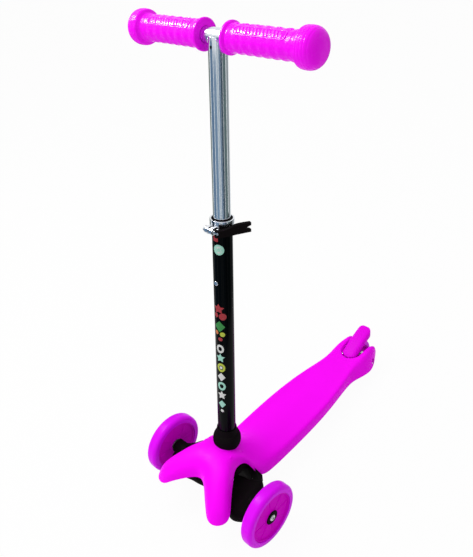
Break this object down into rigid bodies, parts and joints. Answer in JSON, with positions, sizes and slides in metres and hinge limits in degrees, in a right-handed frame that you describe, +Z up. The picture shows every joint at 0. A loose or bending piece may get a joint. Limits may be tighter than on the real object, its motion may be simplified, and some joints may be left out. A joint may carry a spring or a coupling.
{
  "type": "three wheel kids scooter",
  "caption": "Lean-to-steer kick scooter for a child: moulded deck with forked nose, sliding T-bar with ball-end grips, quick clamp and rear fender brake.",
  "frame": {"origin": "on the ground, under the middle of the whole scooter's box", "axes": "+Z up, the scooter faces -Y, +X is the rider's left"},
  "size_m": [0.3452, 0.5834, 0.8646],
  "materials": {
    "magenta_plastic": "moulded, slightly glossy, magenta",
    "violet_tyre": "cast polyurethane, violet",
    "magenta_core": "moulded, darker magenta",
    "grip_rubber": "soft moulded grip, magenta",
    "black_plastic": "moulded, satin black",
    "black_tube": "gloss black powder coat",
    "chrome": "polished chrome tube",
    "clamp_metal": "bright plated clamp",
    "zinc_steel": "zinc plated fasteners",
    "bearing_steel": "ground bearing steel",
    "spring_steel": "spring wire",
    "pale_bush": "natural nylon"
  },
  "bodies": {
    "deck": {"deck_shell": "magenta_plastic", "steering_housing": "black_plastic", "stem_collar": "black_plastic", "lower_tube": "black_tube", "tube_bush": "black_plastic", "clamp_band": "clamp_metal", "clamp_bolt": "zinc_steel", "clamp_nut": "zinc_steel", "clamp_lever_pin": "zinc_steel", "kingpin_bolt": "zinc_steel", "kingpin_nut": "zinc_steel", "kingpin_washer": "zinc_steel", "steering_spring_left": "spring_steel", "steering_spring_right": "spring_steel", "rear_axle_bolt": "zinc_steel", "rear_axle_nut": "zinc_steel", "rear_wheel_spacer_left": "zinc_steel", "rear_wheel_spacer_right": "zinc_steel", "brake_pin": "zinc_steel", "brake_spring": "spring_steel"},
    "truck": {"front_truck": "black_plastic", "kingpin_bush": "pale_bush", "front_wheel_left_axle_bolt": "zinc_steel", "front_wheel_left_washer": "zinc_steel", "front_wheel_right_axle_bolt": "zinc_steel", "front_wheel_right_washer": "zinc_steel"},
    "wheel_left": {"front_wheel_left_tyre": "violet_tyre", "front_wheel_left_core": "magenta_core", "front_wheel_left_bearing_inner": "bearing_steel", "front_wheel_left_bearing_outer": "bearing_steel", "front_wheel_left_sleeve": "zinc_steel", "front_wheel_left_dust_ring": "black_plastic"},
    "wheel_right": {"front_wheel_right_tyre": "violet_tyre", "front_wheel_right_core": "magenta_core", "front_wheel_right_bearing_inner": "bearing_steel", "front_wheel_right_bearing_outer": "bearing_steel", "front_wheel_right_sleeve": "zinc_steel", "front_wheel_right_dust_ring": "black_plastic"},
    "wheel_rear": {"rear_wheel_tyre": "violet_tyre", "rear_wheel_core": "magenta_core", "rear_wheel_bearing_left": "bearing_steel", "rear_wheel_bearing_right": "bearing_steel", "rear_wheel_sleeve": "zinc_steel"},
    "brake": {"brake_fender": "magenta_plastic", "brake_plate": "zinc_steel"},
    "handlebar": {"t_bar": "chrome", "grip_left": "grip_rubber", "grip_right": "grip_rubber"},
    "lever": {"clamp_lever": "black_plastic"},
    "button": {"height_button": "clamp_metal"}
  },
  "joints": [
    {"name": "lean_steer", "type": "hinge", "parent": "deck", "child": "truck", "pos_m": [0, -0.19728, 0.06], "axis": [0, -0.6428, 0.766], "range_deg": [-12, 12], "stiffness_Nm_per_rad": 30, "deforming": ["steering_spring_left", "steering_spring_right"]},
    {"name": "left_wheel_spin", "type": "hinge", "parent": "truck", "child": "wheel_left", "pos_m": [0.1255, -0.20927, 0.06], "axis": [1, 0, 0], "continuous": true},
    {"name": "right_wheel_spin", "type": "hinge", "parent": "truck", "child": "wheel_right", "pos_m": [-0.1255, -0.20927, 0.06], "axis": [1, 0, 0], "continuous": true},
    {"name": "rear_wheel_spin", "type": "hinge", "parent": "deck", "child": "wheel_rear", "pos_m": [0, 0.25472, 0.037], "axis": [1, 0, 0], "continuous": true},
    {"name": "brake_press", "type": "hinge", "parent": "deck", "child": "brake", "pos_m": [0, 0.21723, 0.056], "axis": [-1, 0, 0], "range_deg": [0, 2], "stiffness_Nm_per_rad": 4, "springref_deg": -8.59},
    {"name": "bar_height", "type": "slide", "parent": "deck", "child": "handlebar", "axis": [0, 0.1097, 0.994], "range_m": [-0.23, 0]},
    {"name": "clamp_lever_swing", "type": "hinge", "parent": "deck", "child": "lever", "pos_m": [0.016, -0.15061, 0.56613], "axis": [0, -0.1097, -0.994], "range_deg": [0, 100]},
    {"name": "height_button_press", "type": "slide", "parent": "deck", "child": "button", "axis": [0, 0.994, -0.1097], "range_m": [0, 0.003], "stiffness_N_per_m": 600, "springref_m": -0.002}
  ]
}
